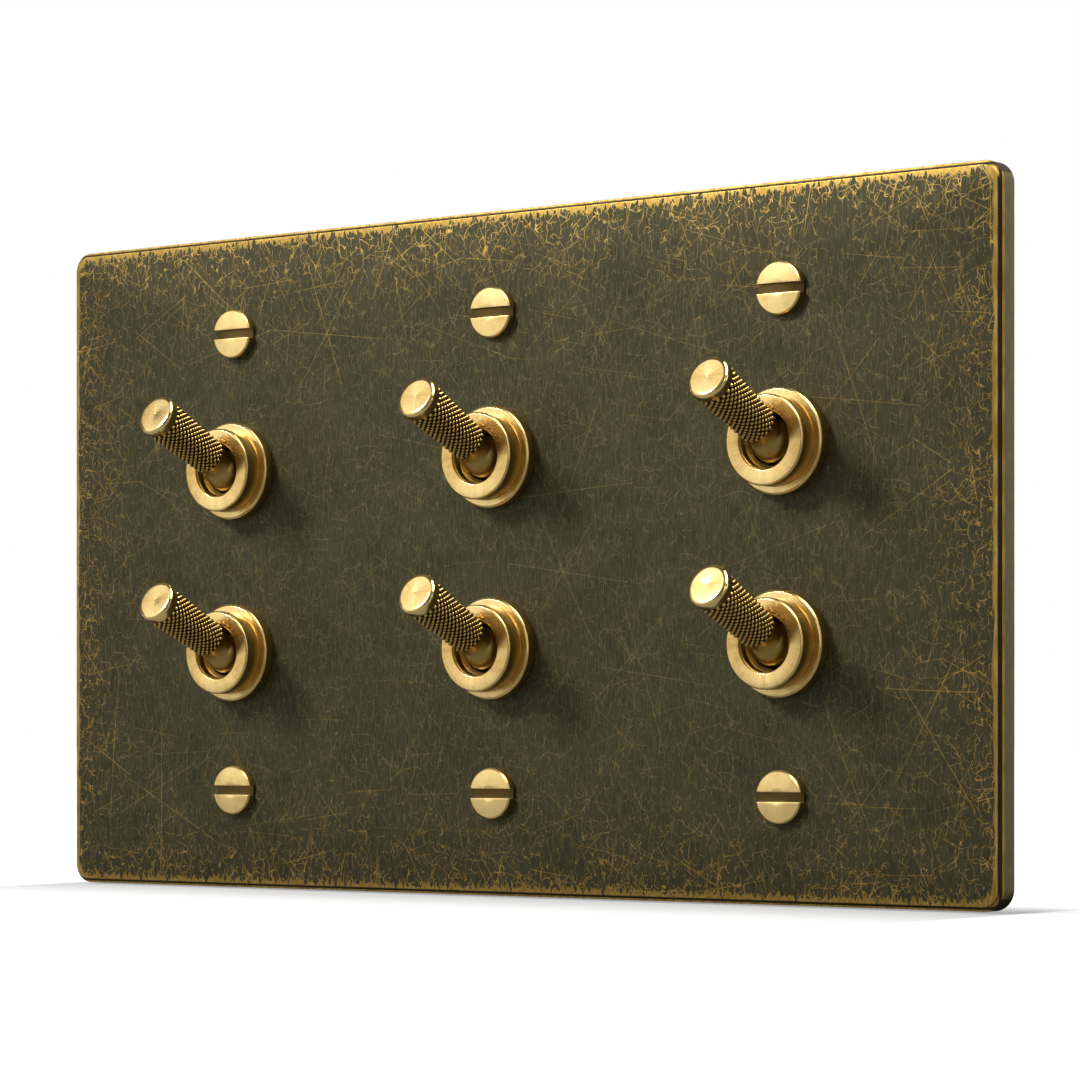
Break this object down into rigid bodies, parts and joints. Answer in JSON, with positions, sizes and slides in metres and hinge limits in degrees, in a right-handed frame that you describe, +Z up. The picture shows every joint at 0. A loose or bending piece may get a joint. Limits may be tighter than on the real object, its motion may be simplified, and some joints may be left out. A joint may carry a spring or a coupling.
{
  "type": "dolly light switch",
  "caption": "Wall light switch: a thick aged-brass plate with rows of knurled brass toggle levers in round collars, slotted fixing screws, and snap-action housings behind.",
  "frame": {"origin": "middle of the plate's back rim, on the wall", "axes": "+X to the right seen from the front, +Y into the wall, +Z up"},
  "size_m": [0.146, 0.0418, 0.086],
  "materials": {
    "aged_brass": "dark patina, brushed, worn bright at the edges",
    "bright_brass": "turned and polished",
    "turned_brass": "as turned",
    "contact_brass": "pressed, plain",
    "steel": "ground",
    "spring_steel": "drawn wire",
    "plated_steel": "yellow zinc plate",
    "zinc_steel": "zinc plate",
    "black_moulding": "moulded phenolic"
  },
  "bodies": {
    "fixed": {"face_plate": "aged_brass", "plate_screws": "bright_brass", "pivot_pins": "steel", "bridge_screws": "plated_steel", "terminal_screws": "plated_steel", "yoke_left": "zinc_steel", "collar_top_left": "bright_brass", "bush_top_left": "turned_brass", "housing_top_left": "black_moulding", "terminals_top_left": "contact_brass", "collar_bottom_left": "bright_brass", "bush_bottom_left": "turned_brass", "housing_bottom_left": "black_moulding", "terminals_bottom_left": "contact_brass", "yoke_middle": "zinc_steel", "collar_top_middle": "bright_brass", "bush_top_middle": "turned_brass", "housing_top_middle": "black_moulding", "terminals_top_middle": "contact_brass", "collar_bottom_middle": "bright_brass", "bush_bottom_middle": "turned_brass", "housing_bottom_middle": "black_moulding", "terminals_bottom_middle": "contact_brass", "yoke_right": "zinc_steel", "collar_top_right": "bright_brass", "bush_top_right": "turned_brass", "housing_top_right": "black_moulding", "terminals_top_right": "contact_brass", "collar_bottom_right": "bright_brass", "bush_bottom_right": "turned_brass", "housing_bottom_right": "black_moulding", "terminals_bottom_right": "contact_brass"},
    "lever_top_left": {"dolly_top_left": "bright_brass", "plunger_top_left": "steel", "spring_top_left": "spring_steel"},
    "contact_top_left": {"rocker_top_left": "contact_brass"},
    "lever_bottom_left": {"dolly_bottom_left": "bright_brass", "plunger_bottom_left": "steel", "spring_bottom_left": "spring_steel"},
    "contact_bottom_left": {"rocker_bottom_left": "contact_brass"},
    "lever_top_middle": {"dolly_top_middle": "bright_brass", "plunger_top_middle": "steel", "spring_top_middle": "spring_steel"},
    "contact_top_middle": {"rocker_top_middle": "contact_brass"},
    "lever_bottom_middle": {"dolly_bottom_middle": "bright_brass", "plunger_bottom_middle": "steel", "spring_bottom_middle": "spring_steel"},
    "contact_bottom_middle": {"rocker_bottom_middle": "contact_brass"},
    "lever_top_right": {"dolly_top_right": "bright_brass", "plunger_top_right": "steel", "spring_top_right": "spring_steel"},
    "contact_top_right": {"rocker_top_right": "contact_brass"},
    "lever_bottom_right": {"dolly_bottom_right": "bright_brass", "plunger_bottom_right": "steel", "spring_bottom_right": "spring_steel"},
    "contact_bottom_right": {"rocker_bottom_right": "contact_brass"}
  },
  "joints": [
    {"name": "lever_top_left_tilt", "type": "hinge", "parent": "fixed", "child": "lever_top_left", "pos_m": [-0.0432, -0.005, 0.012], "axis": [1, 0, 0], "range_deg": [0, 51]},
    {"name": "contact_top_left_tip", "type": "hinge", "parent": "fixed", "child": "contact_top_left", "pos_m": [-0.0432, 0.0087, 0.012], "axis": [1, 0, 0], "range_deg": [-18, 0]},
    {"name": "lever_bottom_left_tilt", "type": "hinge", "parent": "fixed", "child": "lever_bottom_left", "pos_m": [-0.0432, -0.005, -0.012], "axis": [1, 0, 0], "range_deg": [0, 51]},
    {"name": "contact_bottom_left_tip", "type": "hinge", "parent": "fixed", "child": "contact_bottom_left", "pos_m": [-0.0432, 0.0087, -0.012], "axis": [1, 0, 0], "range_deg": [-18, 0]},
    {"name": "lever_top_middle_tilt", "type": "hinge", "parent": "fixed", "child": "lever_top_middle", "pos_m": [0, -0.005, 0.012], "axis": [1, 0, 0], "range_deg": [0, 51]},
    {"name": "contact_top_middle_tip", "type": "hinge", "parent": "fixed", "child": "contact_top_middle", "pos_m": [0, 0.0087, 0.012], "axis": [1, 0, 0], "range_deg": [-18, 0]},
    {"name": "lever_bottom_middle_tilt", "type": "hinge", "parent": "fixed", "child": "lever_bottom_middle", "pos_m": [0, -0.005, -0.012], "axis": [1, 0, 0], "range_deg": [0, 51]},
    {"name": "contact_bottom_middle_tip", "type": "hinge", "parent": "fixed", "child": "contact_bottom_middle", "pos_m": [0, 0.0087, -0.012], "axis": [1, 0, 0], "range_deg": [-18, 0]},
    {"name": "lever_top_right_tilt", "type": "hinge", "parent": "fixed", "child": "lever_top_right", "pos_m": [0.0432, -0.005, 0.012], "axis": [1, 0, 0], "range_deg": [0, 51]},
    {"name": "contact_top_right_tip", "type": "hinge", "parent": "fixed", "child": "contact_top_right", "pos_m": [0.0432, 0.0087, 0.012], "axis": [1, 0, 0], "range_deg": [-18, 0]},
    {"name": "lever_bottom_right_tilt", "type": "hinge", "parent": "fixed", "child": "lever_bottom_right", "pos_m": [0.0432, -0.005, -0.012], "axis": [1, 0, 0], "range_deg": [0, 51]},
    {"name": "contact_bottom_right_tip", "type": "hinge", "parent": "fixed", "child": "contact_bottom_right", "pos_m": [0.0432, 0.0087, -0.012], "axis": [1, 0, 0], "range_deg": [-18, 0]}
  ],
  "couplings": [
    {"joint": "contact_top_left_tip", "follows": "lever_top_left_tilt", "ratio": -0.35294},
    {"joint": "contact_bottom_left_tip", "follows": "lever_bottom_left_tilt", "ratio": -0.35294},
    {"joint": "contact_top_middle_tip", "follows": "lever_top_middle_tilt", "ratio": -0.35294},
    {"joint": "contact_bottom_middle_tip", "follows": "lever_bottom_middle_tilt", "ratio": -0.35294},
    {"joint": "contact_top_right_tip", "follows": "lever_top_right_tilt", "ratio": -0.35294},
    {"joint": "contact_bottom_right_tip", "follows": "lever_bottom_right_tilt", "ratio": -0.35294}
  ]
}
